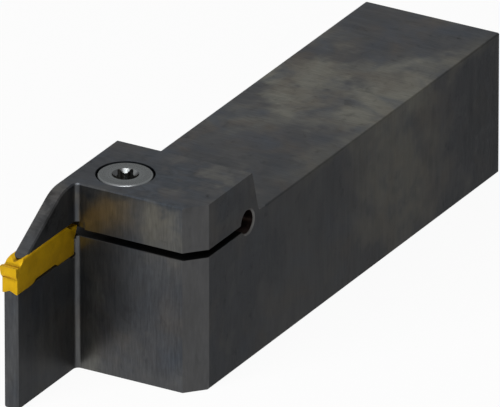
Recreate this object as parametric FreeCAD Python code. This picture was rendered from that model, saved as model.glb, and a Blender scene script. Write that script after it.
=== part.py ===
import FreeCAD, Part
import math
import os

from FreeCAD import Vector

# Millimetres. +Z is up and the cutting end points along -Y.
# The origin is the centre of the seat under the clamped length of the shank.

# Square shank
shank_width = 32.0
shank_height = 32.0          # the cutting edge is level with the shank's top
shank_length = 101.0
shank_edge_radius = 0.4

# Head, flush with the bottom and both sides of the shank
head_length = 24.6
head_rise = 9.5              # above the shank's top
ramp_length = 2.7            # the back of the head leans over this length
ramp_foot_radius = 1.2
head_edge_radius = 0.4       # along the outer side, from the ramp to the jaw's nose
corner_cut_across = 3.8      # flat across the front corner on the right
corner_cut_along = 4.3

# Support blade with the clamping jaw over it, one wall on the left
blade_thickness = 3.1
blade_reach = 23.4
blade_edge_break = 0.3       # front edge on the inner side
root_radius = 1.2
jaw_slope = 30.5
jaw_slope_start = 4.8
jaw_blend_radius = 9.2
jaw_edge_break = 0.3

# Double-ended insert
insert_length = 24.6
insert_overhang = 1.0        # the cutting edge stands ahead of the blade
cutting_width = 4.0
insert_body_width = 3.5
insert_depth = 6.25          # from the cutting edge down to the feet
rail_rise = 0.95             # the clamped top above the cutting edge
rail_bevel_across = 0.3      # outer bevels of the two rails
rail_bevel_down = 0.5
relief_height = 2.15
relief_angle = 10.0
side_clearance = 4.0
relief_step = 0.7
heel_setback = 0.9           # the end faces stand behind the cutting edges
rake_groove_run = 0.45       # small groove close behind the edge
rake_groove_drop = 0.22
rake_groove_radius = 0.5
rake_ridge_run = 0.95        # low ridge behind the groove
rake_ridge_drop = 0.12
rake_ridge_radius = 0.6
rake_length = 1.95           # floor of the second groove
rake_drop = 0.45
rake_root_radius = 0.7
rake_ramp_length = 1.8
rake_dish_drop = 0.18        # the middle of the cutting edge lies below its corners
rake_dish_width = 3.4
flare_length = 3.8           # the wide cutting ends taper into the body
foot_length = 6.4
arch_ramp_length = 1.1
arch_rise = 0.7

# Prism guides that hold the insert sideways: a ridge under it and a ridge over it
seat_half_width = 1.4
seat_rise = 0.62
seat_tip_radius = 1.6
nose_half_width = 1.45
nose_drop = 0.95
nose_tip_radius = 1.9
groove_tip_share = 0.2       # the insert's grooves are sharper, so only flanks touch
shoulder_gap = 0.06
pocket_corner_radius = 0.85
pocket_corner_inset = 0.6    # its centre ahead of the stop wall
edge_room = 0.5              # free space behind the idle cutting edge
edge_side_room = 0.1         # and beside it
pocket_runout_radius = 0.9

# Slit that lets the jaw flex, and the hole that ends it
slit_height = 1.7
slit_drop = 2.3              # its floor lies below the cutting edge
relief_hole_radius = 2.55
relief_hole_setback = 20.12
relief_hole_rise = 0.62      # its centre above the middle of the slit
relief_hole_break = 0.35

# Clamp screw
screw_inset = 9.8            # from the left side
screw_setback = 8.7          # from the head's front
screw_head_radius = 5.85
screw_head_depth = 5.5
screw_rim_radius = 0.6
screw_neck_break = 0.3
thread_radius = 4.0
screw_length = 20.0
screw_tip_chamfer = 1.0
socket_points = 6
socket_width = 5.6           # across the points
socket_waist = 4.0           # across the hollows
socket_tip_radius = 0.45
socket_depth = 3.1
socket_break = 0.1
counterbore_clearance = 0.35
hole_clearance = 0.3
thread_clearance = 0.05
thread_spare_depth = 3.0
thread_mouth_break = 0.6
drill_point_angle = 118.0

cut_through = 1.0            # how far cutters run past what they cut
same_place = 1e-5            # points closer than this are one point

left = -shank_width / 2
right = shank_width / 2
rear = shank_length / 2
head_back = -shank_length / 2
head_front = head_back - head_length
blade_front = head_front - blade_reach
blade_right = left + blade_thickness
edge_level = shank_height
head_height = shank_height + head_rise
edge_front = blade_front - insert_overhang
foot_level = edge_level - insert_depth
heel_level = edge_level - relief_height - relief_step
rail_level = edge_level + rail_rise
slit_floor = edge_level - slit_drop
slit_top = slit_floor + slit_height
insert_x = blade_right - insert_body_width / 2
insert_middle = edge_front + insert_length / 2
insert_rear = edge_front + insert_length
stop_wall = insert_rear - heel_setback
hole_y = head_front + relief_hole_setback
hole_z = slit_floor + slit_height / 2 + relief_hole_rise
screw_x = left + screw_inset
screw_y = head_front + screw_setback
screw_seat = head_height - screw_head_depth


def outline(corners):
    """Closed wire through (point, radius) corners, rounded where a radius is given."""
    spans = []
    for index, (corner, radius) in enumerate(corners):
        before = corners[index - 1][0]
        after = corners[(index + 1) % len(corners)][0]
        if not radius:
            spans.append((corner, None, corner))
            continue
        back = (before - corner).normalize()
        ahead = (after - corner).normalize()
        half_angle = back.getAngle(ahead) / 2
        reach = radius / math.tan(half_angle)
        depth = radius / math.sin(half_angle) - radius
        middle = corner + (back + ahead).normalize() * depth
        spans.append((corner + back * reach, middle, corner + ahead * reach))
    edges = []
    for index, (start, middle, end) in enumerate(spans):
        if middle:
            edges.append(Part.Arc(start, middle, end).toShape())
        following = spans[(index + 1) % len(spans)][0]
        edges.append(Part.LineSegment(end, following).toShape())
    return Part.Wire(edges)


def side_solid(corners, x_from, x_to):
    """Side view corners (y, z, radius) pushed across the tool."""
    wire = outline([(Vector(x_from, y, z), radius) for y, z, radius in corners])
    return Part.Face(wire).extrude(Vector(x_to - x_from, 0, 0))


def front_solid(corners, y_from, y_to):
    """Front view corners (x, z, radius) pushed along the tool."""
    wire = outline([(Vector(x, y_from, z), radius) for x, z, radius in corners])
    return Part.Face(wire).extrude(Vector(0, y_to - y_from, 0))


def block(x_from, x_to, y_from, y_to, z_from, z_to):
    corner = Vector(x_from, y_from, z_from)
    return Part.makeBox(x_to - x_from, y_to - y_from, z_to - z_from, corner)


def turned(corners, x, y):
    """Half section corners (radius, z, rounding) turned about a vertical axis."""
    wire = outline([(Vector(x + reach, y, z), rounding) for reach, z, rounding in corners])
    return Part.Face(wire).revolve(Vector(x, y, 0), Vector(0, 0, 1), 360)


def upright_edges(solid, x, y):
    """Edges that stand at one place in plan."""
    found = []
    for edge in solid.Edges:
        centre = edge.BoundBox.Center
        at_place = math.hypot(centre.x - x, centre.y - y) < same_place
        if at_place and edge.BoundBox.ZLength > same_place:
            found.append(edge)
    return found


def long_edges(solid, x, z):
    """Edges along the tool at one place in the front view."""
    found = []
    for edge in solid.Edges:
        centre = edge.BoundBox.Center
        at_place = math.hypot(centre.x - x, centre.z - z) < same_place
        if at_place and edge.BoundBox.YLength > same_place:
            found.append(edge)
    return found


def rim_edges(solid, x, y_to):
    """Upper edges of jaw and head that lie in one plane along the tool."""
    found = []
    for edge in solid.Edges:
        box = edge.BoundBox
        in_plane = abs(box.XMin - x) < same_place and abs(box.XMax - x) < same_place
        above_edge = box.ZMin > edge_level - same_place and box.ZMax > edge_level + same_place
        if in_plane and above_edge and box.YMax < y_to + same_place and box.YLength > same_place:
            found.append(edge)
    return found


def make_shank():
    """Bar under and behind the head, rounded on its long edges and round its rear face."""
    bar = block(left, right, head_front, rear, 0, shank_height)
    rounded = [edge for edge in bar.Edges if edge.BoundBox.YMax > rear - shank_edge_radius]
    return bar.makeFillet(shank_edge_radius, rounded)


def make_head():
    middle = shank_height / 2
    corners = [
        (head_front, middle, 0),
        (head_back + ramp_length, middle, 0),
        (head_back + ramp_length, shank_height, 0),
        (head_back, shank_height, ramp_foot_radius),
        (head_back - ramp_length, head_height, 0),
        (head_front, head_height, 0),
    ]
    return side_solid(corners, left, right)


def make_blade():
    run_per_rise = 1 / math.tan(math.radians(jaw_slope))
    slope_top = head_front - jaw_slope_start
    slope_foot = slope_top - (head_height - edge_level) * run_per_rise
    inside_head = head_front + head_length / 2
    corners = [
        (blade_front, 0, 0),
        (inside_head, 0, 0),
        (inside_head, head_height, 0),
        (slope_top, head_height, jaw_blend_radius),
        (slope_foot, edge_level, 0),
        (blade_front, edge_level, 0),
    ]
    return side_solid(corners, left, blade_right)


def guide(x, level, half_width, drop, tip_radius, gap):
    """Three corners of a prism guide whose shoulders start a gap behind its level."""
    half = half_width * (1 + gap / abs(drop))
    back = math.copysign(gap, drop)
    return [
        (x - half, level + back, 0),
        (x, level - drop, tip_radius),
        (x + half, level + back, 0),
    ]


def pocket():
    """Space cut for the insert between the blade's seat and the jaw's nose."""
    seat = guide(insert_x, foot_level, seat_half_width, -seat_rise, seat_tip_radius, shoulder_gap)
    nose = guide(insert_x, rail_level, nose_half_width, nose_drop, nose_tip_radius, shoulder_gap)
    clear_left = left - cutting_width
    clear_right = blade_right + cutting_width
    corners = [(clear_left, seat[0][1], 0)] + seat + [(clear_right, seat[0][1], 0)]
    corners += [(clear_right, nose[0][1], 0)] + nose[::-1] + [(clear_left, nose[0][1], 0)]
    space = front_solid(corners, blade_front - cut_through, stop_wall)
    corner_hole = Part.makeCylinder(
        pocket_corner_radius, clear_right - clear_left,
        Vector(clear_left, stop_wall - pocket_corner_inset, foot_level),
        Vector(1, 0, 0))
    return space.fuse(corner_hole)


def edge_recess():
    """Room for the idle cutting end, run out across the head with a small round cutter."""
    ahead = head_front - root_radius - cut_through
    back = insert_rear + edge_room
    side = insert_x + cutting_width / 2 + edge_side_room
    end_x = side + pocket_runout_radius
    top = rail_level + shoulder_gap
    lower = block(left - cut_through, side, ahead, back, heel_level, slit_top)
    upper = block(left - cut_through, end_x, ahead, back, slit_floor, top)
    runout = Part.makeCylinder(pocket_runout_radius, top - slit_floor,
                               Vector(end_x, back - pocket_runout_radius, slit_floor))
    return lower.fuse([upper, runout])


def slit():
    start = head_front - root_radius
    return block(left - cut_through, right + cut_through, start, hole_y, slit_floor, slit_top)


def relief_hole():
    start = Vector(left, hole_y, hole_z)
    across = Vector(1, 0, 0)
    hole = Part.makeCylinder(relief_hole_radius, shank_width, start, across)
    mouth = relief_hole_radius + relief_hole_break
    for x, direction in ((left, 1), (right, -1)):
        cone = Part.makeCone(mouth, relief_hole_radius, relief_hole_break,
                             Vector(x, hole_y, hole_z), Vector(direction, 0, 0))
        hole = hole.fuse(cone)
    return hole


def corner_cut():
    """Wedge that takes the right front corner off the whole height of the head."""
    corner = Vector(right, head_front, -cut_through)
    along_cut = Vector(corner_cut_across, corner_cut_along, 0)
    start = corner - Vector(corner_cut_across, 0, 0) - along_cut
    end = corner + Vector(0, corner_cut_along, 0) + along_cut
    beyond = Vector(end.x, start.y, corner.z)
    face = Part.Face(Part.makePolygon([start, beyond, end, start]))
    return face.extrude(Vector(0, 0, head_height + 2 * cut_through))


def screw_hole():
    """Counterbore, clearance hole through the jaw and blind threaded hole below the slit."""
    counterbore = screw_head_radius + counterbore_clearance
    clearance_hole = thread_radius + hole_clearance
    thread_hole = thread_radius + thread_clearance
    thread_end = screw_seat - screw_length - thread_spare_depth
    point = thread_end - thread_hole / math.tan(math.radians(drill_point_angle / 2))
    mouth = thread_hole + thread_mouth_break
    corners = [
        (0, point, 0),
        (thread_hole, thread_end, 0),
        (thread_hole, slit_floor - thread_mouth_break, 0),
        (mouth, slit_floor, 0),
        (mouth, slit_top, 0),
        (clearance_hole, slit_top, 0),
        (clearance_hole, screw_seat, 0),
        (counterbore, screw_seat, 0),
        (counterbore, head_height + cut_through, 0),
        (0, head_height + cut_through, 0),
    ]
    return turned(corners, screw_x, screw_y)


def make_tool_body():
    blade = make_blade()
    blade = blade.makeFillet(shank_edge_radius, long_edges(blade, left, 0))
    body = make_shank().fuse([make_head(), blade]).removeSplitter()
    body = body.makeFillet(root_radius, upright_edges(body, blade_right, head_front))
    body = body.makeFillet(head_edge_radius, rim_edges(body, left, head_back - ramp_length))
    body = body.makeChamfer(jaw_edge_break, rim_edges(body, blade_right, head_front))
    body = body.makeChamfer(blade_edge_break, upright_edges(body, blade_right, blade_front))
    cutters = [pocket(), edge_recess(), slit(), relief_hole(), corner_cut(), screw_hole()]
    return body.cut(cutters).removeSplitter()


def insert_profile():
    """Side view corners of the front half, from the middle of the sole round to the top."""
    relief_setback = relief_height * math.tan(math.radians(relief_angle))
    return [
        (foot_length + arch_ramp_length + heel_setback, foot_level + arch_rise, 0),
        (foot_length + heel_setback, foot_level, 0),
        (heel_setback, foot_level, 0),
        (heel_setback, heel_level, 0),
        (relief_setback, edge_level - relief_height, 0),
        (0, edge_level, 0),
        (rake_groove_run, edge_level - rake_groove_drop, rake_groove_radius),
        (rake_ridge_run, edge_level - rake_ridge_drop, rake_ridge_radius),
        (rake_length, edge_level - rake_drop, rake_root_radius),
        (rake_length + rake_ramp_length, rail_level, 0),
    ]


def insert_side(width):
    front = [(edge_front + run, z, radius) for run, z, radius in insert_profile()]
    back = [(insert_rear - run, z, radius) for run, z, radius in insert_profile()]
    return side_solid(front + back[::-1], insert_x - width / 2, insert_x + width / 2)


def flare():
    """Space that a cutting end fills: it narrows downwards and towards the body."""
    lean = math.tan(math.radians(side_clearance))
    sections = []
    for run, half in ((0, cutting_width / 2), (flare_length, insert_body_width / 2)):
        low_half = half - (edge_level - heel_level) * lean
        high_half = half + (rail_level - edge_level) * lean
        y = edge_front + run
        points = [
            Vector(insert_x - low_half, y, heel_level),
            Vector(insert_x + low_half, y, heel_level),
            Vector(insert_x + high_half, y, rail_level),
            Vector(insert_x - high_half, y, rail_level),
        ]
        sections.append(Part.makePolygon(points + points[:1]))
    return Part.makeLoft(sections, True, True)


def rail_bevels(y_from, y_to):
    """Wedges that bevel the outer edges of the two rails on the insert's top."""
    wedges = []
    for side in (-1, 1):
        outer = insert_x + side * insert_body_width / 2
        inner = outer - side * rail_bevel_across
        beyond = outer + side * rail_bevel_across
        corners = [
            (inner, rail_level, 0),
            (beyond, rail_level, 0),
            (beyond, rail_level - 2 * rail_bevel_down, 0),
        ]
        wedges.append(front_solid(corners, y_from, y_to))
    return wedges


def rake_dish():
    """Long round cutter that dips the middle of the cutting edge."""
    radius = rake_dish_width ** 2 / (8 * rake_dish_drop) + rake_dish_drop / 2
    start = Vector(insert_x, edge_front - cut_through, edge_level - rake_dish_drop + radius)
    return Part.makeCylinder(radius, rake_length + cut_through, start, Vector(0, 1, 0))


def make_insert():
    front_end = insert_side(2 * cutting_width).common(flare()).cut(rake_dish())
    rear_end = front_end.mirror(Vector(0, insert_middle, 0), Vector(0, 1, 0))
    body = insert_side(insert_body_width).fuse([front_end, rear_end])
    sole = guide(insert_x, foot_level, seat_half_width, -seat_rise,
                 seat_tip_radius * groove_tip_share, shoulder_gap)
    roof = guide(insert_x, rail_level, nose_half_width, nose_drop,
                 nose_tip_radius * groove_tip_share, shoulder_gap)
    start = edge_front - cut_through
    end = insert_rear + cut_through
    cutters = [front_solid(sole, start, end), front_solid(roof, start, end)]
    return body.cut(cutters + rail_bevels(start, end)).removeSplitter()


def socket():
    """Lobed recess: round tips joined by tangent hollows, with a drilled floor."""
    half_pitch = math.pi / socket_points
    tip = socket_tip_radius
    tip_centre = socket_width / 2 - tip
    waist = socket_waist / 2
    lean = 2 * math.cos(half_pitch) * tip_centre
    hollow = (tip ** 2 - tip_centre ** 2 - waist ** 2 + lean * waist) / (2 * waist - lean - 2 * tip)
    edges = []
    centre = Vector(screw_x, screw_y, head_height)

    def at(distance, turn):
        return Vector(math.cos(turn), math.sin(turn), 0) * distance

    for index in range(socket_points):
        turn = (2 * index + 1) * half_pitch
        tip_middle = at(tip_centre, turn)
        hollow_before = at(waist + hollow, turn - half_pitch)
        hollow_after = at(waist + hollow, turn + half_pitch)
        start = tip_middle + (hollow_before - tip_middle).normalize() * tip
        end = tip_middle + (hollow_after - tip_middle).normalize() * tip
        next_tip = at(tip_centre, turn + 2 * half_pitch)
        next_start = next_tip + (hollow_after - next_tip).normalize() * tip
        peak = at(socket_width / 2, turn)
        dip = at(waist, turn + half_pitch)
        edges.append(Part.Arc(centre + start, centre + peak, centre + end).toShape())
        edges.append(Part.Arc(centre + end, centre + dip, centre + next_start).toShape())
    recess = Part.Face(Part.Wire(edges)).extrude(Vector(0, 0, -socket_depth))
    mouth_depth = (socket_width - socket_waist) / 2 + socket_break
    mouth = Part.makeCone(socket_width / 2 + socket_break, waist, mouth_depth, centre, Vector(0, 0, -1))
    floor = Part.makeCone(waist, 0, waist / math.tan(math.radians(drill_point_angle / 2)),
                          centre - Vector(0, 0, socket_depth), Vector(0, 0, -1))
    return recess.fuse([mouth, floor])


def make_clamp_screw():
    tip = screw_seat - screw_length
    corners = [
        (0, tip, 0),
        (thread_radius - screw_tip_chamfer, tip, 0),
        (thread_radius, tip + screw_tip_chamfer, 0),
        (thread_radius, screw_seat, 0),
        (screw_head_radius - screw_neck_break, screw_seat, 0),
        (screw_head_radius, screw_seat + screw_neck_break, 0),
        (screw_head_radius, head_height, screw_rim_radius),
        (0, head_height, 0),
    ]
    return turned(corners, screw_x, screw_y).cut(socket())


def main():
    os.makedirs("parts", exist_ok=True)
    parts = {
        "tool_body": make_tool_body(),
        "clamp_screw": make_clamp_screw(),
        "cutting_insert": make_insert(),
    }
    for name, shape in parts.items():
        solids = shape.Solids
        print(name, shape.isValid(), len(solids), "solids", round(shape.Volume, 2), "mm3")
        solids[0].exportStep(f"parts/{name}.step")


main()
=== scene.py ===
import math

import bmesh
import bpy
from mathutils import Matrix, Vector


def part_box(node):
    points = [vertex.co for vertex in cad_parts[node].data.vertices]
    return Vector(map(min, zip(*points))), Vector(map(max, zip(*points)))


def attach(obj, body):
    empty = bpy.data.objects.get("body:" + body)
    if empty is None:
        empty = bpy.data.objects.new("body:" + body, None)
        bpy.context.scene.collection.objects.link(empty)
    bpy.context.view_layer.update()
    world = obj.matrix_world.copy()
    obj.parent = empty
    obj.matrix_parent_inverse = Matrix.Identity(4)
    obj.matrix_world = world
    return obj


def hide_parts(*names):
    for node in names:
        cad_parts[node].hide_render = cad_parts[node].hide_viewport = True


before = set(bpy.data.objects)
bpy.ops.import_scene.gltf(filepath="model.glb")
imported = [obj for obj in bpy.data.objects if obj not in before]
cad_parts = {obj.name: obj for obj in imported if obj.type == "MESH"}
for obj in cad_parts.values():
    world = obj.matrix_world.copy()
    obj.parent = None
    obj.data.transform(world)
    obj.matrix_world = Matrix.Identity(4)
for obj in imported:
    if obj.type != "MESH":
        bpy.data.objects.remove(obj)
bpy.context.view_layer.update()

scene = bpy.context.scene
mm = 0.001
samePoint = 1e-6     # metres; points nearer than this are merged


# Shader helpers

def feed(tree, socket, value):
    # another node's output is linked in, and anything else is set as the value
    if isinstance(value, bpy.types.NodeSocket):
        tree.links.new(value, socket)
    else:
        socket.default_value = value


def place(tree, kind, inputs=None, **settings):
    node = tree.nodes.new(kind)
    for name, value in settings.items():
        setattr(node, name, value)
    for name, value in (inputs or {}).items():
        feed(tree, node.inputs[name], value)
    return node


def sums(tree, operation, first, second=0.0, clamp=False):
    inputs = {0: first, 1: second}
    return place(tree, "ShaderNodeMath", inputs, operation=operation, use_clamp=clamp).outputs[0]


def product(tree, first, *others):
    for value in others:
        first = sums(tree, "MULTIPLY", first, value)
    return first


def vectors(tree, operation, first, second=None):
    inputs = {0: first} if second is None else {0: first, 1: second}
    node = place(tree, "ShaderNodeVectorMath", inputs, operation=operation)
    return node.outputs["Value" if operation in ("LENGTH", "DOT_PRODUCT") else "Vector"]


def splitUp(tree, vector):
    return place(tree, "ShaderNodeSeparateXYZ", {0: vector}).outputs


def joinUp(tree, x, y, z):
    return place(tree, "ShaderNodeCombineXYZ", {0: x, 1: y, 2: z}).outputs[0]


def spread(tree, value, low, high, newLow=0.0, newHigh=1.0, **settings):
    inputs = {0: value, 1: low, 2: high, 3: newLow, 4: newHigh}
    return place(tree, "ShaderNodeMapRange", inputs, **settings).outputs[0]


def toneOn(tree, mask, tone):
    # 1 off the mask, and the tone where the mask is full
    return spread(tree, mask, 0.0, 1.0, 1.0, tone)


def blendValues(tree, share, first, second):
    return place(tree, "ShaderNodeMix", {0: share, 2: first, 3: second}).outputs[0]


def blendColours(tree, share, first, second, mode="MIX"):
    inputs = {0: share, 6: first, 7: second}
    return place(tree, "ShaderNodeMix", inputs, data_type="RGBA", blend_type=mode).outputs[2]


def shaded(tree, colour, shade):
    return blendColours(tree, 1.0, colour, joinUp(tree, shade, shade, shade), "MULTIPLY")


def noise(tree, spot, scale, detail, roughness=0.5, distortion=0.0, output=0):
    inputs = {
        "Vector": spot, "Scale": scale, "Detail": detail, "Roughness": roughness, "Distortion": distortion}
    return place(tree, "ShaderNodeTexNoise", inputs).outputs[output]


def facing(tree, axis):
    # how squarely the surface looks along one of the object's axes, either way
    normal = place(tree, "ShaderNodeTexCoord").outputs["Normal"]
    return sums(tree, "ABSOLUTE", splitUp(tree, normal)[axis])


def bumped(tree, finish, height, normal):
    strength, distance = finish["bump"]
    return place(tree, "ShaderNodeBump", {
        "Strength": strength, "Distance": distance, "Height": height, "Normal": normal}).outputs[0]


def startMaterial(name):
    material = bpy.data.materials.new(name)
    material.use_nodes = True
    return material, material.node_tree


number = "NodeSocketFloat"
direction = "NodeSocketVector"


def startGroup(name, inputs, outputs):
    # an input without a value is a vector
    group = bpy.data.node_groups.new(name, "ShaderNodeTree")
    for label, value in inputs.items():
        kind = direction if value is None else number
        socket = group.interface.new_socket(name=label, in_out="INPUT", socket_type=kind)
        if value is not None:
            socket.default_value = value
    for label, kind in outputs.items():
        group.interface.new_socket(name=label, in_out="OUTPUT", socket_type=kind)
    entry = group.nodes.new("NodeGroupInput").outputs
    leave = group.nodes.new("NodeGroupOutput").inputs
    return group, entry, leave


def useGroup(tree, group, inputs):
    return place(tree, "ShaderNodeGroup", inputs, node_tree=group).outputs


# Shared effects

effects = {
    "endFaceFrom": 0.6,             # a face that looks along the bar this squarely has upright marks
    "faceBlend": (0.3, 0.65),       # where an end or side face begins and is full
    "noiseRange": (0.3, 0.7),       # what the noise mostly stays within
    "bandScale": 0.3,               # of the wide bands, against the fine marks
    "raggedScale": 90.0,            # per metre, of the rims of soft patches
    "raggedGain": 4.0,
    "mostRagged": 0.008,            # metres, and never more than this share of the patch:
    "raggedShare": 0.5,
    "patchCore": 0.15,              # the share of a patch that is full
    "chipRange": (0.35, 0.65),      # where the lighter edge, partly worn and partly painted highlight, is broken up, and what is left of it there
    "chipLeft": 0.35,
    "speckScale": 0.35,             # of the specks, against the grain
    "speckRange": (0.12, 0.3),
}


def makeGrindMarks():
    group, entry, leave = startGroup(
        "grindMarks",
        {"Place": None, "Marks per metre": 1800.0, "Length": 0.012},
        {"Height": number, "Bands": number, "End face": number, "Side face": number})
    alongBar, acrossBar = facing(group, "Y"), facing(group, "X")
    onEnd = sums(group, "GREATER_THAN", alongBar, effects["endFaceFrom"])
    quick, slow = entry["Marks per metre"], sums(group, "DIVIDE", 1.0, entry["Length"])
    # marks run across the bar on its long sides, and upright on the faces that look along it
    parts = splitUp(group, entry["Place"])
    stretched = joinUp(
        group,
        product(group, parts["X"], blendValues(group, onEnd, slow, quick)),
        product(group, parts["Y"], blendValues(group, onEnd, quick, slow)),
        product(group, parts["Z"], slow))
    fine = noise(group, stretched, 1.0, detail=4.0, roughness=0.62, distortion=0.4)
    wide = noise(group, stretched, effects["bandScale"], detail=3.0, distortion=0.8)
    group.links.new(fine, leave["Height"])
    group.links.new(spread(group, wide, *effects["noiseRange"]), leave["Bands"])
    group.links.new(spread(group, alongBar, *effects["faceBlend"]), leave["End face"])
    group.links.new(spread(group, acrossBar, *effects["faceBlend"]), leave["Side face"])
    return group


def makeClouds():
    # one layer of soft patches, shifted so that layers differ
    group, entry, leave = startGroup(
        "clouds",
        {"Place": None, "Shift": 0.0, "Size": 0.02, "Detail": 4.0, "From": 0.5, "To": 0.7},
        {"Mask": number})
    away = vectors(group, "ADD", entry["Place"], entry["Shift"])
    perMetre = sums(group, "DIVIDE", 1.0, entry["Size"])
    cloud = noise(group, away, perMetre, entry["Detail"], roughness=0.55, distortion=0.7)
    mask = spread(group, cloud, entry["From"], entry["To"], interpolation_type="SMOOTHSTEP")
    group.links.new(mask, leave["Mask"])
    return group


def makeSoftPatch():
    # a soft-edged place on the surface, which carries patina patches, tints, and painted light and shade
    group, entry, leave = startGroup(
        "softPatch",
        {"Place": None, "Centre": None, "Reach": None, "Raggedness": 0.008},
        {"Mask": number})
    ragged = noise(group, entry["Place"], effects["raggedScale"], detail=3.0, roughness=0.6, output="Color")
    drift = vectors(group, "SUBTRACT", ragged, (0.5, 0.5, 0.5))      # to either side of the noise's middle
    gain = product(group, entry["Raggedness"], effects["raggedGain"])
    scaled = place(group, "ShaderNodeVectorMath", {0: drift, "Scale": gain}, operation="SCALE").outputs[0]
    away = vectors(group, "SUBTRACT", vectors(group, "ADD", entry["Place"], scaled), entry["Centre"])
    reach = vectors(group, "LENGTH", vectors(group, "DIVIDE", away, entry["Reach"]))
    mask = spread(group, reach, effects["patchCore"], 1.0, 1.0, 0.0, interpolation_type="SMOOTHSTEP")
    group.links.new(mask, leave["Mask"])
    return group


def makeEdgeWearAndHighlight():
    # edges made lighter, partly worn and partly as painted highlight, where the bevelled normal turns from
    # the flat one
    group, entry, leave = startGroup(
        "edgeWearAndHighlight",
        {"Place": None, "Radius": 0.00015, "Gain": 4.0, "Break-up": 900.0},
        {"Mask": number, "Normal": direction})
    rounded = place(group, "ShaderNodeBevel", {"Radius": entry["Radius"]}, samples=6).outputs[0]
    flat = place(group, "ShaderNodeNewGeometry").outputs["Normal"]
    turned = sums(group, "SUBTRACT", 1.0, vectors(group, "DOT_PRODUCT", rounded, flat))
    bent = sums(group, "MULTIPLY", turned, entry["Gain"], clamp=True)
    chips = noise(group, entry["Place"], entry["Break-up"], detail=3.0)
    unbroken = spread(group, chips, *effects["chipRange"], effects["chipLeft"], 1.0)
    group.links.new(product(group, bent, unbroken), leave["Mask"])
    group.links.new(rounded, leave["Normal"])
    return group


def makeGrain():
    group, entry, leave = startGroup(
        "grain",
        {"Place": None, "Grains per metre": 6000.0},
        {"Height": number, "Specks": number})
    fine = noise(group, entry["Place"], entry["Grains per metre"], detail=3.0, roughness=0.6)
    cells = place(group, "ShaderNodeTexVoronoi", {
        "Vector": entry["Place"], "Scale": product(group, entry["Grains per metre"], effects["speckScale"])})
    specks = spread(group, cells.outputs["Distance"], *effects["speckRange"], 1.0, 0.0)
    group.links.new(fine, leave["Height"])
    group.links.new(specks, leave["Specks"])
    return group


grindMarks = makeGrindMarks()
clouds = makeClouds()
softPatch = makeSoftPatch()
edgeWearAndHighlight = makeEdgeWearAndHighlight()
grain = makeGrain()
print("shared effects made")


# Finishes

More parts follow.
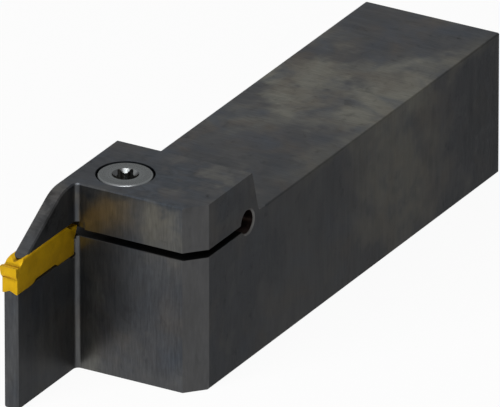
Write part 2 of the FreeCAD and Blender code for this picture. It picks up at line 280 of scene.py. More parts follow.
blackSteelFinish = {
    "plain": (0.054, 0.055, 0.0565, 1),
    "dark": (0.037, 0.040, 0.045, 1),
    "light": (0.128, 0.126, 0.108, 1),
    # a painted reflection of the gold insert
    "khaki": (0.112, 0.096, 0.068, 1),
    "slate": (0.047, 0.055, 0.066, 1),
    "olive": (0.104, 0.099, 0.080, 1),
    "deep": (0.024, 0.026, 0.029, 1),
    "rust": (0.072, 0.050, 0.046, 1),
    "brown": (0.076, 0.064, 0.052, 1),
    "blue": (0.043, 0.051, 0.064, 1),
    "wearAndHighlightColour": (0.115, 0.112, 0.108, 1),
    # layers of soft patches: shift, size in metres, detail, and the noise where a patch begins and is full
    "cloudLayer": (0.31, 0.024, 5.0, 0.34, 0.66),
    "brownLayer": (1.7, 0.012, 5.0, 0.46, 0.74),
    "blueLayer": (2.9, 0.0096, 5.0, 0.46, 0.74),
    "mottleLayer": (6.1, 0.0028, 6.0, 0.40, 0.60),
    "smudgeLayer": (4.3, 0.0026, 3.0, 0.54, 0.78),
    "brownShare": 0.62,
    "blueShare": 0.65,
    "smudges": 0.34,
    "cloudGain": 0.62,
    "plainLevel": 0.36,             # from 0, dark, to 1, light, where the steel is plain
    "milledClouds": 0.45,           # how much of the layers shows on the faces that look along the bar
    "sideClouds": 0.6,              # and on its sides
    "marksPerMetre": 2300.0,
    "markLength": 0.0035,
    "streaks": 0.18,                # how far the fine marks lighten and darken
    "calmed": 0.55,                 # and how much less on the sides and the front corner
    "bandTone": (0.94, 1.06),
    # painted light on the faces that look along the bar, and painted shade on its upright long sides
    "endFaceLighting": 1.35,
    "sideFaceLighting": 0.60,
    "roughness": (0.36, 0.50),
    "endRoughness": 0.30,
    "metallic": (0.40, 0.88),       # long faces, then the milled faces that look along the bar
    "specularLevel": 0.15,
    "edgeTint": (0.3, 0.3, 0.3, 1),
    "edgeRadius": 0.00004,
    "edgeGain": 3.0,
    "edgeShare": 0.45,
    "grainsPerMetre": 5000.0,
    "grainHeight": 0.5,             # against the marks
    "bump": (0.3, 0.00003),
    # places made lighter and places made darker, partly patina and partly painted light and shade for the
    # way the faces catch the light: centre and reach in mm, and how much
    "wipedAndLit": (
        ((-9, 9, 32), (17, 19, 9), 1.12),
        ((11, 16, 32), (12, 46, 7), 0.50),
        ((16, 8, 14), (8, 28, 30), 0.50),
        ((9, -75, 37), (15, 6, 7), 0.11),
        ((-9, -75, 12), (4, 4, 28), 0.22),
    ),
    "dulledAndShaded": (
        ((4, -63, 42), (30, 20, 5), 0.50),
        ((0, -36, 32), (30, 14, 12), 0.26),
        ((16, 48, 14), (8, 30, 40), 1.00),
        ((16, -60, 16), (8, 24, 36), 0.65),
        ((-12.5, -76, 38), (2.5, 4, 9), 0.50),
        ((8, -76, 12), (9, 5, 18), 0.42),
    ),
    # tints, a painted reflection and a painted shade: colour, then centre and reach in mm, and how much
    "tintsAndPaintedLight": (
        # a painted reflection of the gold insert on the head's front face
        ("khaki", (-6, -75.8, 37.5), (8.0, 4, 7.5), 0.55),
        ("olive", (7, -76, 37), (10, 5, 8), 0.52),
        ("slate", (0, -66, 42), (28, 17, 3), 0.80),
        ("brown", (7, -76, 12), (9, 5, 18), 0.16),
        ("olive", (15, 38, 32), (4.5, 22, 3), 0.40),
        ("olive", (14, -20, 32), (6, 26, 3), 0.34),
        # painted shade toward the rear of the right side
        ("deep", (16, 46, 15), (6, 18, 26), 0.45),
        ("brown", (16, 8, 14), (6, 26, 28), 0.34),
    ),
    "mottled": (
        ((-14.9, -84, 38), (2.5, 12, 7), 0.44),
        ((0, -66, 42), (30, 18, 3.5), 0.32),
    ),
    "insideSlit": ((0, -63.4, 30.55), (15.8, 11.4, 0.87)),   # middle and half size in mm
    # painted shade inside the slit
    "slitShade": 0.10,
    "reliefHole": (-55.0, 31.2, 2.62),   # in mm, its place along and up, and its reach
    "holeRimHighlight": 3.0,                 # mm from the hole's axis to the outside of its edge chamfer, which has a painted highlight
    "holeTurns": (0.5, 0.9),        # how squarely its wall and then its edge at most look across the bar
    # painted shade on the relief hole's wall
    "holeShade": 0.55,
    # painted highlight on the relief hole's edge chamfer
    "holeRimHighlightShare": 0.65,
    "cornerFlatShade": (0.0482, 0.0479, 0.0482, 1),   # the flat cut across the front corner is evenly milled, and painted an even darker tone as shade for the way it faces
    "cornerTurns": (0.50, 0.62),    # how far it looks along both axes at least
    "cornerShare": 0.85,
}


def layerMask(tree, spot, layer):
    shift, size, detail, low, high = layer
    return useGroup(tree, clouds, {
        "Place": spot, "Shift": shift, "Size": size, "Detail": detail, "From": low, "To": high})["Mask"]


def patchShare(tree, spot, patches):
    total = 0.0
    for centre, reach, share in patches:
        across = sorted(reach)[1] * mm      # the lesser of the two sizes that lie in the surface
        mask = useGroup(tree, softPatch, {
            "Place": spot, "Centre": Vector(centre) * mm, "Reach": Vector(reach) * mm,
            "Raggedness": min(effects["mostRagged"], across * effects["raggedShare"])})["Mask"]
        total = sums(tree, "ADD", product(tree, mask, share), total, clamp=True)
    return total


def oxideColour(tree, spot, marks, finish):
    # clouds from dark through plain to light, then brown and blue tints and the places given their own tint,
    # which include a painted reflection of the gold insert and a painted shade
    clouded = product(
        tree, toneOn(tree, marks["End face"], finish["milledClouds"]),
        toneOn(tree, marks["Side face"], finish["sideClouds"]))
    big = layerMask(tree, spot, finish["cloudLayer"])
    # lighter and darker patches, partly patina and partly painted light and shade
    wipedAndLitShare, dulledAndShaded = patchShare(tree, spot, finish["wipedAndLit"]), patchShare(tree, spot, finish["dulledAndShaded"])
    lift = sums(tree, "SUBTRACT", wipedAndLitShare, dulledAndShaded)
    evened = blendValues(tree, clouded, 0.5, big)      # half-way where few clouds show
    level = sums(tree, "ADD", product(tree, evened, finish["cloudGain"]), lift)
    plainLevel = finish["plainLevel"]
    deep = blendColours(tree, spread(tree, level, 0.0, plainLevel), finish["dark"], finish["plain"])
    tone = blendColours(tree, spread(tree, level, plainLevel, 1.0), deep, finish["light"])
    for tint in ("brown", "blue"):
        mask = layerMask(tree, spot, finish[tint + "Layer"])
        tone = blendColours(tree, product(tree, mask, finish[tint + "Share"], clouded), tone, finish[tint])
    for tint, *patch in finish["tintsAndPaintedLight"]:
        tone = blendColours(tree, patchShare(tree, spot, [patch]), tone, finish[tint])
    return tone, clouded


def oxideShade(tree, spot, clouded, finish):
    # what small smudges and the fine mottle leave of the tone
    mottle = layerMask(tree, spot, finish["mottleLayer"])
    mottled = product(tree, mottle, patchShare(tree, spot, finish["mottled"]))
    smudge = layerMask(tree, spot, finish["smudgeLayer"])
    smudged = product(tree, smudge, finish["smudges"], clouded)
    return product(tree, sums(tree, "SUBTRACT", 1.0, smudged), sums(tree, "SUBTRACT", 1.0, mottled))


def insideMasks(tree, spot, finish):
    # faces inside the slit and on the wall of the relief hole, for painted shade, and the edge chamfer round
    # the hole, for a painted highlight
    middle, half = (Vector(sizes) * mm for sizes in finish["insideSlit"])
    away = splitUp(tree, vectors(tree, "ABSOLUTE", vectors(tree, "SUBTRACT", spot, middle)))
    slit = 1.0
    for axis, size in zip("XYZ", half):
        slit = product(tree, sums(tree, "LESS_THAN", away[axis], size), slit)
    parts = splitUp(tree, spot)
    along, up, reach = (size * mm for size in finish["reliefHole"])
    fromHole = vectors(tree, "LENGTH", joinUp(
        tree, 0.0, sums(tree, "SUBTRACT", parts["Y"], along), sums(tree, "SUBTRACT", parts["Z"], up)))
    turned = facing(tree, "X")
    wallTurn, rimTurn = finish["holeTurns"]
    inHole = sums(tree, "LESS_THAN", fromHole, reach)
    atRim = sums(tree, "LESS_THAN", fromHole, finish["holeRimHighlight"] * mm)
    wall = product(tree, inHole, sums(tree, "LESS_THAN", turned, wallTurn))
    leaning = product(
        tree, sums(tree, "GREATER_THAN", turned, wallTurn), sums(tree, "LESS_THAN", turned, rimTurn))
    return slit, wall, product(tree, atRim, leaning)


def cornerMask(tree, spot, finish):
    # 1 on the upright face that looks half along and half across the bar, away from the blade
    lesser = sums(tree, "MINIMUM", facing(tree, "X"), facing(tree, "Y"))
    clearOfBlade = sums(tree, "GREATER_THAN", splitUp(tree, spot)["X"], 0.0)
    return product(tree, spread(tree, lesser, *finish["cornerTurns"]), clearOfBlade)


def makeBlackSteel():
    finish = blackSteelFinish
    material, tree = startMaterial("blackOxideSteel")
    shader = tree.nodes["Principled BSDF"]
    spot = place(tree, "ShaderNodeTexCoord").outputs["Object"]
    marks = useGroup(tree, grindMarks, {
        "Place": spot, "Marks per metre": finish["marksPerMetre"], "Length": finish["markLength"]})
    wearAndHighlight = useGroup(tree, edgeWearAndHighlight, {
        "Place": spot, "Radius": finish["edgeRadius"], "Gain": finish["edgeGain"]})
    specks = useGroup(tree, grain, {"Place": spot, "Grains per metre": finish["grainsPerMetre"]})
    tone, clouded = oxideColour(tree, spot, marks, finish)
    kept = oxideShade(tree, spot, clouded, finish)
    corner = cornerMask(tree, spot, finish)
    slit, holeWall, holeRimHighlight = insideMasks(tree, spot, finish)
    sideShare = sums(tree, "SUBTRACT", marks["Side face"], marks["End face"], clamp=True)

    # how the marks lighten and darken, with painted light and shade by the way a face looks and painted
    # shade in the slit and the relief hole
    swing = finish["streaks"]
    streak = spread(tree, marks["Height"], *effects["noiseRange"], 1.0 - swing, 1.0 + swing)
    calm = product(tree, sums(tree, "MAXIMUM", sideShare, corner), finish["calmed"])
    streak = blendValues(tree, calm, streak, 1.0)
    band = spread(tree, marks["Bands"], 0.0, 1.0, *finish["bandTone"])
    endFaceLighting = toneOn(tree, marks["End face"], finish["endFaceLighting"])
    sideFaceLighting = toneOn(tree, sideShare, finish["sideFaceLighting"])
    # painted shade in the slit and on the relief hole's wall
    inside = blendValues(
        tree, holeWall, toneOn(tree, slit, finish["slitShade"]), toneOn(tree, holeWall, finish["holeShade"]))
    facedLighting = product(tree, endFaceLighting, sideFaceLighting, inside)
    shade = product(tree, streak, band, product(tree, facedLighting, kept))

    # painted shade: an even darker tone on the flat cut across the front corner
    tone = blendColours(tree, product(tree, corner, finish["cornerShare"]), tone, finish["cornerFlatShade"])
    tone = shaded(tree, blendColours(tree, holeWall, tone, finish["rust"]), shade)
    # lighter edges, partly worn and partly painted highlight, and a painted highlight on the relief hole's
    # edge chamfer
    for mask, share in ((wearAndHighlight["Mask"], finish["edgeShare"]), (holeRimHighlight, finish["holeRimHighlightShare"])):
        tone = blendColours(tree, product(tree, mask, share), tone, finish["wearAndHighlightColour"])
    longRoughness = spread(tree, marks["Bands"], 0.0, 1.0, *finish["roughness"])
    roughness = blendValues(tree, marks["End face"], longRoughness, finish["endRoughness"])
    metallic = spread(tree, marks["End face"], 0.0, 1.0, *finish["metallic"])
    height = sums(tree, "ADD", marks["Height"], product(tree, specks["Height"], finish["grainHeight"]))
    tree.links.new(tone, shader.inputs["Base Color"])
    tree.links.new(roughness, shader.inputs["Roughness"])
    tree.links.new(metallic, shader.inputs["Metallic"])
    tree.links.new(bumped(tree, finish, height, wearAndHighlight["Normal"]), shader.inputs["Normal"])
    shader.inputs["Specular IOR Level"].default_value = finish["specularLevel"]
    shader.inputs["Specular Tint"].default_value = finish["edgeTint"]
    return material


screwFinish = {
    "colour": (0.130, 0.138, 0.140, 1),
    "dark": (0.086, 0.091, 0.092, 1),
    "wearAndHighlightColour": (0.26, 0.26, 0.26, 1),
    # the rim, worn lighter all round and lightest toward the front as a painted highlight
    "rimWearAndSheen": (0.222, 0.230, 0.238, 1),
    "rimReach": (5.25, 5.45),       # mm from the axis where the lighter rim begins and is full
    "sheenAt": ((2.2, -5.2, 41.3), (4.6, 3.4, 3.0)),   # from the axis, and its reach, in mm
    "sheenRagged": 0.0005,
    "sheenLeast": 0.15,            # on the rest of the rim
    # painted lighter, so that the glint on the countersink shows white
    "countersink": (0.17, 0.178, 0.18, 1),
    # painted shade on the countersink's sides
    "slopeSidesShade": (0.062, 0.064, 0.066, 1),
    "slopeTurns": (0.3, 0.5),       # how far the slope looks across the bar where its sides begin
    "slopeBelow": 0.9,              # the countersink looks up less than this
    "wallBelow": 0.3,               # and the socket's wall less than this
    "socketWallLight": (0.34, 0.32, 0.29, 1),   # broached, and painted lighter as painted light on the socket's wall
    "wallReach": 2.9,               # mm from the axis to beyond the socket's mouth
    "broachMarks": 4200.0,          # per metre
    "broachRange": (0.35, 0.65),
    "ringsPerMetre": 3800.0,
    "ringStretch": 0.3,             # rings along the axis, against those across it
    "ringHeight": 0.7,
    "roughness": (0.24, 0.34),
    "edgeTint": (0.6, 0.6, 0.6, 1),
    "edgeRadius": 0.0001,
    "edgeGain": 3.0,
    "edgeShare": 0.5,
    "grainsPerMetre": 7000.0,
    "grainHeight": 0.4,
    "speckShare": 0.25,
    "bump": (0.25, 0.00002),
}


def makeScrewSteel(centre):
    finish = screwFinish
    material, tree = startMaterial("phosphatedScrewSteel")
    shader = tree.nodes["Principled BSDF"]
    spot = place(tree, "ShaderNodeTexCoord").outputs["Object"]
    axis = Vector((centre.x, centre.y, 0))
    parts = splitUp(tree, vectors(tree, "SUBTRACT", spot, axis))
    flat = joinUp(tree, parts["X"], parts["Y"], 0.0)
    reach = vectors(tree, "LENGTH", flat)
    perMetre = finish["ringsPerMetre"]
    outward = product(tree, reach, perMetre)
    downward = product(tree, parts["Z"], perMetre * finish["ringStretch"])
    rings = noise(tree, joinUp(tree, outward, downward, 0.0), 1.0, detail=2.0, roughness=0.55)
    wearAndHighlight = useGroup(tree, edgeWearAndHighlight, {
        "Place": spot, "Radius": finish["edgeRadius"], "Gain": finish["edgeGain"]})
    specks = useGroup(tree, grain, {"Place": spot, "Grains per metre": finish["grainsPerMetre"]})
    ringed = spread(tree, rings, *effects["noiseRange"])
    tone = blendColours(tree, ringed, finish["dark"], finish["colour"])
    tone = blendColours(tree, product(tree, specks["Specks"], finish["speckShare"]), tone, finish["dark"])

    # the rim is lighter all round, as worn, and lightest toward the front, where a highlight is painted
    sheenCentre, sheenReach = (Vector(sizes) * mm for sizes in finish["sheenAt"])
    patch = useGroup(tree, softPatch, {
        "Place": spot, "Centre": sheenCentre + axis, "Reach": sheenReach,
        "Raggedness": finish["sheenRagged"]})["Mask"]
    atRim = spread(tree, reach, *(size * mm for size in finish["rimReach"]))
    rimSheenShare = product(tree, atRim, spread(tree, patch, 0.0, 1.0, finish["sheenLeast"], 1.0))
    tone = blendColours(tree, rimSheenShare, tone, finish["rimWearAndSheen"])

    # the countersink, painted lighter so that its glint shows white and with painted shade to the sides, and
    # the broached wall below it, with painted light
    upturned = facing(tree, "Z")
    within = sums(tree, "LESS_THAN", reach, finish["wallReach"] * mm)
    onSlope = product(tree, within, sums(tree, "LESS_THAN", upturned, finish["slopeBelow"]))
    inSocket = product(tree, within, sums(tree, "LESS_THAN", upturned, finish["wallBelow"]))
    sideways = spread(tree, facing(tree, "X"), *finish["slopeTurns"])
    slopeLightAndShade = blendColours(tree, sideways, finish["countersink"], finish["slopeSidesShade"])
    upright = spread(tree, noise(tree, flat, finish["broachMarks"], detail=2.0), *finish["broachRange"])
    wallLight = blendColours(tree, upright, finish["colour"], finish["socketWallLight"])
    tone = blendColours(tree, onSlope, tone, slopeLightAndShade)
    tone = blendColours(tree, inSocket, tone, wallLight)
    # lighter edges, partly worn and partly painted highlight
    tone = blendColours(tree, product(tree, wearAndHighlight["Mask"], finish["edgeShare"]), tone, finish["wearAndHighlightColour"])

    roughness = spread(tree, specks["Height"], *effects["noiseRange"], *finish["roughness"])
    height = sums(
        tree, "ADD", product(tree, rings, finish["ringHeight"]),
        product(tree, specks["Height"], finish["grainHeight"]))
    tree.links.new(tone, shader.inputs["Base Color"])
    tree.links.new(roughness, shader.inputs["Roughness"])
    tree.links.new(bumped(tree, finish, height, wearAndHighlight["Normal"]), shader.inputs["Normal"])
    shader.inputs["Metallic"].default_value = 1.0
    shader.inputs["Specular Tint"].default_value = finish["edgeTint"]
    return material


goldFinish = {
    "colour": (0.70, 0.425, 0.010, 1),
    "deep": (0.58, 0.335, 0.008, 1),
    "cloudsPerMetre": 420.0,
    "cloudRange": (0.35, 0.65),
    "shaded": (0.085, 0.034, 0.002, 1),   # in the grooves and under the relief
    "cavityReach": 0.0011,          # metres that the open air is felt for
    "cavityShare": (0.985, 0.84),   # openness at which the shade begins and is full
    "sideTurns": (0.5, 0.8),        # how far a face looks across where it begins to be a side
    "sideFaceLighting": (0.97, 1.09),       # painted light: the tone on the faces that look along and across
    # painted highlight along the edges, partly worn
    "wearAndHighlightColour": (0.95, 0.66, 0.08, 1),
    "edgeRadius": 0.00010,
    "edgeGain": 5.0,
    "edgeShare": 0.6,
    "chipsPerMetre": 2500.0,
    "grainsPerMetre": 9000.0,
    "roughness": (0.28, 0.40),
    "metallic": 0.7,
    "edgeTint": (0.85, 0.65, 0.2, 1),
    "bump": (0.2, 0.00001),
}


def makeGoldCarbide():
    finish = goldFinish
    material, tree = startMaterial("goldNitrideCarbide")
    shader = tree.nodes["Principled BSDF"]
    spot = place(tree, "ShaderNodeTexCoord").outputs["Object"]
    specks = useGroup(tree, grain, {"Place": spot, "Grains per metre": finish["grainsPerMetre"]})
    wearAndHighlight = useGroup(tree, edgeWearAndHighlight, {
        "Place": spot, "Radius": finish["edgeRadius"], "Gain": finish["edgeGain"],
        "Break-up": finish["chipsPerMetre"]})
    cloud = noise(tree, spot, finish["cloudsPerMetre"], detail=4.0)
    tone = blendColours(
        tree, spread(tree, cloud, *finish["cloudRange"]), finish["deep"], finish["colour"])
    openness = place(
        tree, "ShaderNodeAmbientOcclusion", {"Distance": finish["cavityReach"]}, samples=8, only_local=True)
    cavity = spread(tree, openness.outputs["AO"], *finish["cavityShare"])
    tone = blendColours(tree, cavity, tone, finish["shaded"])
    # painted light: the insert's sides lighter than its other faces
    tone = shaded(tree, tone, spread(tree, facing(tree, "X"), *finish["sideTurns"], *finish["sideFaceLighting"]))
    # painted highlight along the insert's edges, partly worn
    tone = blendColours(tree, product(tree, wearAndHighlight["Mask"], finish["edgeShare"]), tone, finish["wearAndHighlightColour"])
    roughness = spread(tree, specks["Height"], *effects["noiseRange"], *finish["roughness"])
    tree.links.new(tone, shader.inputs["Base Color"])
    tree.links.new(roughness, shader.inputs["Roughness"])
    tree.links.new(bumped(tree, finish, specks["Height"], wearAndHighlight["Normal"]), shader.inputs["Normal"])
    shader.inputs["Metallic"].default_value = finish["metallic"]
    shader.inputs["Specular Tint"].default_value = finish["edgeTint"]
    return material


# Clamp screw with a real thread, in place of the plain solid

clampScrew = {
    "segments": 144,
    "smoothTo": 28.0,             # degrees
    "socketPoints": 6,
    "socketWidth": 5.6 * mm,      # across the points
    "socketWaist": 4.0 * mm,      # across the hollows
    "pointRadius": 0.45 * mm,
    "socketDepth": 3.1 * mm,
    "floorBreak": (0.04 * mm, 0.06 * mm),   # in and up, where the socket's wall meets its floor
    "drillShare": 0.98,           # of the waist, across the drilled cone
    "drillDepth": 1.2 * mm,       # cone below the socket's floor
    "mouthBreak": 0.02 * mm,
    "mouthAngle": 90.0,           # of the countersink round the lobes
    "rimRadius": 0.6 * mm,
    "rimSteps": 8,
    "headDepth": 5.5 * mm,
    "neckBreak": 0.3 * mm,
    "neckFillet": 0.4 * mm,
    "neckSteps": 4,
    "pitch": 1.25 * mm,
    "threadDepth": 0.68 * mm,
    "threadShape": (0.25, 0.5625, 0.6875),   # shares of the pitch where the flank, crest and back begin
    "crestRadius": 4.0 * mm,
    "threadStart": 1.2 * mm,      # below the head
    "tipRadius": 3.0 * mm,
    "tipShare": 0.96,             # of the tip, across its flat end
}


def socketReach(sizes, turn):
    # distance from the axis to the lobed wall at one angle
    pitch = 2 * math.pi / sizes["socketPoints"]
    fromPoint = abs((turn % pitch) - pitch / 2)
    tip = sizes["pointRadius"]
    tipCentre = sizes["socketWidth"] / 2 - tip
    waist = sizes["socketWaist"] / 2
    lean = 2 * math.cos(pitch / 2) * tipCentre
    hollow = (tip ** 2 - tipCentre ** 2 - waist ** 2 + lean * waist) / (2 * waist - lean - 2 * tip)
    hollowCentre = Vector((math.cos(pitch / 2), math.sin(pitch / 2))) * (waist + hollow)
    touch = Vector((tipCentre, 0)) + (hollowCentre - Vector((tipCentre, 0))).normalized() * tip
    if fromPoint < math.atan2(touch.y, touch.x):
        aside = tipCentre * math.sin(fromPoint)
        return tipCentre * math.cos(fromPoint) + math.sqrt(tip ** 2 - aside ** 2)
    fromHollow = pitch / 2 - fromPoint
    distance = waist + hollow
    aside = distance * math.sin(fromHollow)
    return distance * math.cos(fromHollow) - math.sqrt(hollow ** 2 - aside ** 2)


def threadHeight(sizes, share):
    # 0 at the root and 1 at the crest, through one pitch
    flank, crest, back = sizes["threadShape"]
    if share < flank:
        return 0.0
    if share < crest:
        return (share - flank) / (crest - flank)
    if share < back:
        return 1.0
    return (1.0 - share) / (1.0 - back)


def addRing(shape, centre, count, reachAt, heightAt):
    ring = []
    for index in range(count):
        turn = 2 * math.pi * index / count
        reach = reachAt(turn)
        ring.append(shape.verts.new((
            centre.x + reach * math.cos(turn), centre.y + reach * math.sin(turn), heightAt(turn))))
    return ring


def joinRings(shape, first, second):
    count = len(first)
    for index in range(count):
        after = (index + 1) % count
        shape.faces.new((first[index], first[after], second[after], second[index]))


def closeRing(shape, ring, tip, inward):
    for index in range(len(ring)):
        pair = (ring[index], ring[(index + 1) % len(ring)])
        shape.faces.new((tip, *pair) if inward else (tip, pair[1], pair[0]))


def addThread(shape, sizes, centre, bottom, top, neck):
    # rows follow the helix, and what runs past either end is drawn in to it
    count = sizes["segments"]
    pitch = sizes["pitch"]
    root = sizes["crestRadius"] - sizes["threadDepth"]
    flank, crest, back = sizes["threadShape"]
    shares = (0.0, flank, (flank + crest) / 2, crest, back, (back + 1.0) / 2)
    turns = math.ceil((top - bottom) / pitch) + 2
    columns = []
    for index in range(count):
        turn = 2 * math.pi * index / count
        column = []
        for row in range(turns * len(shares)):
            share = shares[row % len(shares)]
            z = bottom + pitch * (row // len(shares) + share + index / count - 1)
            z = min(max(z, bottom), top)
            fade = min(1.0, (top - z) / pitch)
            reach = root + sizes["threadDepth"] * threadHeight(sizes, share) * fade
            reach = min(reach, sizes["tipRadius"] + z - bottom)
            column.append(shape.verts.new((
                centre.x + reach * math.cos(turn), centre.y + reach * math.sin(turn), z)))
        columns.append(column)
    for index in range(count):
        first = columns[index]
        last = index == count - 1
        second = columns[0][len(shares):] if last else columns[index + 1]
        for row in range(len(second) - 1):
            shape.faces.new((first[row], second[row], second[row + 1], first[row + 1]))
    tipReach = sizes["tipRadius"] * sizes["tipShare"]
    inner = addRing(shape, centre, count, lambda turn: tipReach, lambda turn: bottom)
    joinRings(shape, inner, [column[0] for column in columns])
    closeRing(shape, inner, shape.verts.new((centre.x, centre.y, bottom)), False)
    joinRings(shape, neck, [column[-1] for column in columns])


def makeClampScrew():
    sizes = clampScrew
    low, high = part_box("clamp_screw")
    centre = (low + high) / 2
    top, bottom = high.z, low.z
    headReach = (high.x - low.x) / 2
    seat = top - sizes["headDepth"]
    count = sizes["segments"]
    mouth = sizes["socketWidth"] / 2 + sizes["mouthBreak"]
    mouthSlope = 1 / math.tan(math.radians(sizes["mouthAngle"] / 2))
    floor = top - sizes["socketDepth"]
    breakIn, breakUp = sizes["floorBreak"]

    def wall(turn):
        return socketReach(sizes, turn)

    # rings from the socket's floor out over the head and down to the thread: reach, then height
    rings = [
        (lambda turn: sizes["socketWaist"] / 2 * sizes["drillShare"], lambda turn: floor),
        (lambda turn: wall(turn) - breakIn, lambda turn: floor),
        (wall, lambda turn: floor + breakUp),
        (wall, lambda turn: top - (mouth - wall(turn)) * mouthSlope),
        (lambda turn: mouth, lambda turn: top),
    ]
    rim = sizes["rimRadius"]
    for step in range(sizes["rimSteps"] + 1):
        lean = math.pi / 2 * step / sizes["rimSteps"]
        rings.append((
            lambda turn, lean=lean: headReach - rim + rim * math.sin(lean),
            lambda turn, lean=lean: top - rim + rim * math.cos(lean)))
    rings.append((lambda turn: headReach, lambda turn: seat + sizes["neckBreak"]))
    rings.append((lambda turn: headReach - sizes["neckBreak"], lambda turn: seat))
    root = sizes["crestRadius"] - sizes["threadDepth"]
    fillet = sizes["neckFillet"]
    for step in range(sizes["neckSteps"] + 1):
        lean = math.pi / 2 * step / sizes["neckSteps"]
        rings.append((
            lambda turn, lean=lean: root + fillet - fillet * math.sin(lean),
            lambda turn, lean=lean: seat - fillet + fillet * math.cos(lean)))

    shape = bmesh.new()
    made = [addRing(shape, centre, count, *ring) for ring in rings]
    for first, second in zip(made, made[1:]):
        joinRings(shape, second, first)
    drill = shape.verts.new((centre.x, centre.y, floor - sizes["drillDepth"]))
    closeRing(shape, made[0], drill, True)
    addThread(shape, sizes, centre, bottom, seat - sizes["threadStart"], made[-1])
    bmesh.ops.remove_doubles(shape, verts=shape.verts, dist=samePoint)
    bmesh.ops.dissolve_degenerate(shape, edges=shape.edges, dist=samePoint)
    bmesh.ops.recalc_face_normals(shape, faces=shape.faces)
    mesh = bpy.data.meshes.new("threadedClampScrew")
    shape.to_mesh(mesh)
    shape.free()
    mesh.polygons.foreach_set("use_smooth", [True] * len(mesh.polygons))
    mesh.set_sharp_from_angle(angle=math.radians(sizes["smoothTo"]))
    piece = bpy.data.objects.new("threadedClampScrew", mesh)
    scene.collection.objects.link(piece)
    mesh.materials.append(makeScrewSteel(centre))
    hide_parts("clamp_screw")
    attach(piece, "screw")


# Insert with honed edges, made from the solid's own faces

honedInsert = {
    "edgeRadius": 0.035 * mm,
    "edgeSteps": 2,
    "sharpFrom": 22.0,            # degrees
    "flatWithin": 1.0,            # degrees between faces that are joined into one
    "mergeWithin": 0.001 * mm,    # takes out the needle faces that honing leaves at the corners
}


def makeHonedInsert():
    sizes = honedInsert
    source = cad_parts["cutting_insert"].data
    shape = bmesh.new()
    shape.from_mesh(source)
    bmesh.ops.remove_doubles(shape, verts=shape.verts, dist=samePoint)
    bmesh.ops.dissolve_limit(
        shape, angle_limit=math.radians(sizes["flatWithin"]), verts=shape.verts, edges=shape.edges)
    mesh = bpy.data.meshes.new("honedInsert")
    shape.to_mesh(mesh)
    shape.free()
    piece = bpy.data.objects.new("honedInsert", mesh)
    scene.collection.objects.link(piece)
    mesh.polygons.foreach_set("use_smooth", [True] * len(mesh.polygons))
    hone = piece.modifiers.new("honing", "BEVEL")
    hone.width = sizes["edgeRadius"]
    hone.segments = sizes["edgeSteps"]
    hone.limit_method = "ANGLE"
    hone.angle_limit = math.radians(sizes["sharpFrom"])
    hone.harden_normals = True
    hone.use_clamp_overlap = True
    tidied = piece.modifiers.new("tidied", "WELD")
    tidied.merge_threshold = sizes["mergeWithin"]
    mesh.materials.append(makeGoldCarbide())
    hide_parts("cutting_insert")
    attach(piece, "holder")


def dressBody():
    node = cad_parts["tool_body"]
    material = makeBlackSteel()
    if not node.material_slots:
        node.data.materials.append(material)
    for slot in node.material_slots:
        slot.material = material


dressBody()
makeClampScrew()
makeHonedInsert()
print("tool body, screw and insert dressed")


# Floor and light

stageLook = {
    "floorSize": 1.6,
    "floorDrop": 0.00005,         # just below the seat, so that the two don't share a plane
    "floorColour": (0.88, 0.88, 0.88, 1),
    "seenShare": 0.93,            # how much of the floor shows as plain white
    "worldLight": 0.18,
}


def whiteToEyeAndGloss(tree):
    # what the camera, polished faces and clear pieces see as plain white
    path = place(tree, "ShaderNodeLightPath").outputs
    mirrored = sums(tree, "MAXIMUM", path["Is Glossy Ray"], path["Is Transmission Ray"])
    return sums(tree, "MAXIMUM", path["Is Camera Ray"], mirrored)


def makeFloor():
    look = stageLook
    shape = bmesh.new()
    bmesh.ops.create_grid(shape, x_segments=8, y_segments=8, size=look["floorSize"] / 2)
    mesh = bpy.data.meshes.new("floor")
    shape.to_mesh(mesh)
    shape.free()
    floor = bpy.data.objects.new("floor", mesh)
    floor.location.z = -look["floorDrop"]
    scene.collection.objects.link(floor)
    material, tree = startMaterial("paleFloor")
    tree.nodes.clear()
    pale = place(tree, "ShaderNodeBsdfDiffuse", {"Color": look["floorColour"]}).outputs[0]
    white = place(tree, "ShaderNodeEmission", {"Strength": 1.0}).outputs[0]
    share = product(tree, whiteToEyeAndGloss(tree), look["seenShare"])
    top = place(tree, "ShaderNodeMixShader", {0: share, 1: pale, 2: white}).outputs[0]
    # seen from below, the floor is clear
    clear = place(tree, "ShaderNodeBsdfTransparent").outputs[0]
    under = place(tree, "ShaderNodeNewGeometry").outputs["Backfacing"]
    both = place(tree, "ShaderNodeMixShader", {0: under, 1: top, 2: clear}).outputs[0]
    place(tree, "ShaderNodeOutputMaterial", {"Surface": both})
    mesh.materials.append(material)


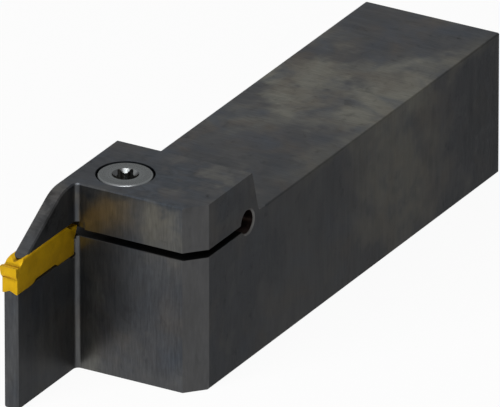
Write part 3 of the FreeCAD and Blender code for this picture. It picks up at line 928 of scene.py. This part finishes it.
def makeWorld():
    world = bpy.data.worlds.new("paleStudio")
    world.use_nodes = True
    scene.world = world
    tree = world.node_tree
    tree.nodes.clear()
    strength = blendValues(tree, whiteToEyeAndGloss(tree), stageLook["worldLight"], 1.0)
    sky = place(tree, "ShaderNodeBackground", {"Color": (1, 1, 1, 1), "Strength": strength}).outputs[0]
    place(tree, "ShaderNodeOutputWorld", {"Surface": sky})


softboxes = {
    "overheadSoftbox": {
        "towards": (0.211, -0.366, 0.906),
        "distance": 1.0,
        "size": (0.6, 0.16),
        "power": 3.6,
        "mirrored": True,         # whether gloss shows it
    },
    "frontSoftbox": {
        "towards": (-0.30, -0.90, 0.30),
        "distance": 1.2,
        "size": (0.7, 0.7),
        "power": 15.0,
        "mirrored": False,
    },
}
softboxAim = (0, -0.06, 0.02)


def makeSoftboxes():
    for name, sizes in softboxes.items():
        lamp = bpy.data.lights.new(name, "AREA")
        lamp.shape = "RECTANGLE"
        lamp.size, lamp.size_y = sizes["size"]
        lamp.energy = sizes["power"]
        holder = bpy.data.objects.new(name, lamp)
        towards = Vector(sizes["towards"]).normalized()
        holder.location = Vector(softboxAim) + towards * sizes["distance"]
        holder.rotation_euler = towards.to_track_quat("Z", "Y").to_euler()
        holder.visible_camera = False
        holder.visible_glossy = sizes["mirrored"]
        scene.collection.objects.link(holder)


cameraView = {
    "lens": 1380.0,
    "sensor": 36.0,
    "sees": (0.1, 20.0),          # nearest and furthest, in metres
    "azimuth": 29.82,
    "elevation": 24.99,
    "distance": 3.9699,
    "aim": (-0.01309, -0.00334, 0.00775),
}


def makeCamera():
    view = cameraView
    camera = bpy.data.cameras.new("photoCamera")
    camera.lens = view["lens"]
    camera.sensor_width = view["sensor"]
    camera.clip_start, camera.clip_end = view["sees"]
    holder = bpy.data.objects.new("photoCamera", camera)
    turn, rise = math.radians(view["azimuth"]), math.radians(view["elevation"])
    back = Vector((math.sin(turn) * math.cos(rise), -math.cos(turn) * math.cos(rise), math.sin(rise)))
    holder.location = Vector(view["aim"]) + back * view["distance"]
    holder.rotation_euler = back.to_track_quat("Z", "Y").to_euler()
    scene.collection.objects.link(holder)
    scene.camera = holder


makeFloor()
makeWorld()
makeSoftboxes()
makeCamera()
scene.view_settings.view_transform = "Standard"
print("stage, lamps and camera set")
